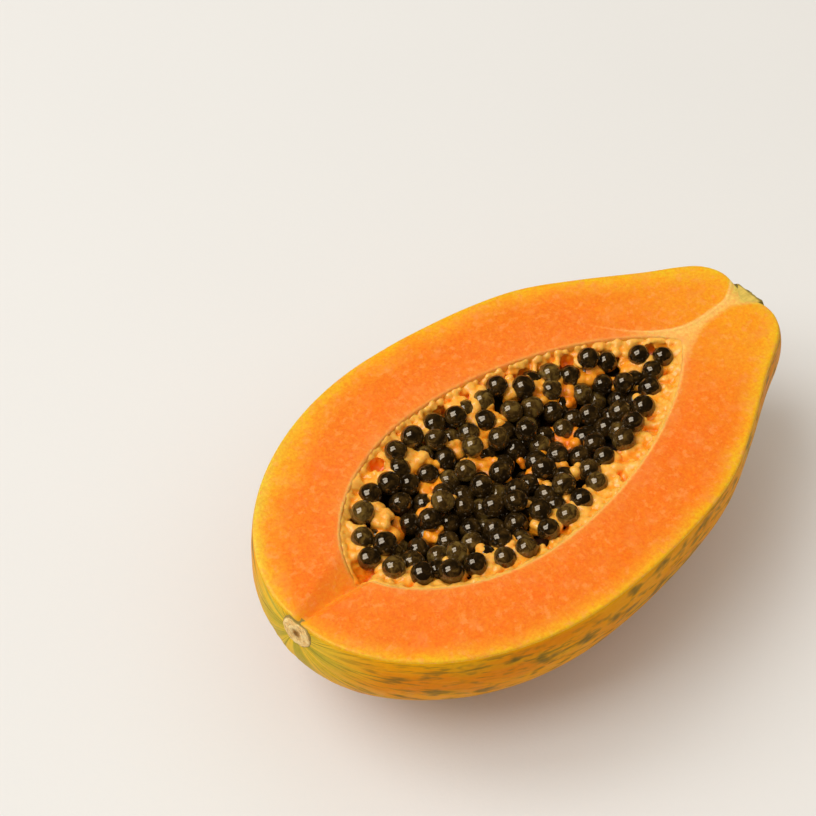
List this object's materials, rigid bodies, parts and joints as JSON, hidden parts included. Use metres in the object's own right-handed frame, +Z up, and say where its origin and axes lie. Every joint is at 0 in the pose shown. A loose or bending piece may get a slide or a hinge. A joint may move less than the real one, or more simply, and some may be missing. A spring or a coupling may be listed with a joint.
{
  "type": "papaya half",
  "caption": "Half of a ripe papaya cut lengthwise, flesh side up, with its skin, flower scar, stem end and a heap of dark round seeds in the hollow.",
  "frame": {"origin": "on the small flat spot under the half, straight below its centre of mass", "axes": "+X along the fruit towards the stem end, +Z up out of the cut face"},
  "size_m": [0.174, 0.1044, 0.0555],
  "materials": {
    "flesh": "moist ripe flesh, yellow under the skin and deep orange at the hollow, fine grained",
    "rind": "satin thin skin, ochre yellow with green flecks and a green flower end",
    "pulp": "wet yellow-orange knobs of pulp round the seeds",
    "seeds": "wet and glossy, black-brown with a clear olive skin",
    "stem": "dry pale stem end and flower scar"
  },
  "bodies": {
    "root": {"papaya_half": "flesh", "seeds": "seeds"}
  },
  "joints": []
}
